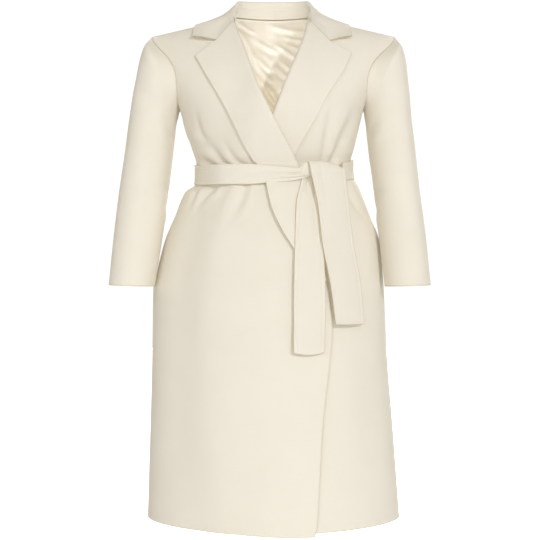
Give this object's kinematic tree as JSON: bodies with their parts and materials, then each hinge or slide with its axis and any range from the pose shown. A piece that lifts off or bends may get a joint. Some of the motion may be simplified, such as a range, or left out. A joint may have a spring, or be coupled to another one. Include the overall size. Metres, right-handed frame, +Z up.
{
  "type": "wrap coat",
  "caption": "Hollow worn-shape wrap coat in pale wool with notched lapels, three-quarter sleeves and a self belt tied at the front.",
  "frame": {"origin": "centre of the neck base, level with the two points where the shoulder seams meet the collar, where the wearer's shoulders hold the coat", "axes": "+Z up, the front faces -Y, +X towards the wearer's left"},
  "size_m": [0.6608, 0.3908, 1.1003],
  "materials": {
    "wool": "matte cream wool crepe, fine grain, soft short nap",
    "belt": "the same cream wool crepe, doubled and pressed",
    "lining": "ivory satin with soft diagonal creases"
  },
  "bodies": {
    "root": {"front_right": "wool", "front_left": "wool", "back": "wool", "sleeve_right": "wool", "sleeve_left": "wool", "lapel_right": "wool", "lapel_left": "wool", "collar_fall": "wool", "collar_stand": "wool", "back_lining": "lining", "belt": "belt", "belt_knot": "belt", "belt_tail_left": "belt", "belt_tail_right": "belt"}
  },
  "joints": []
}
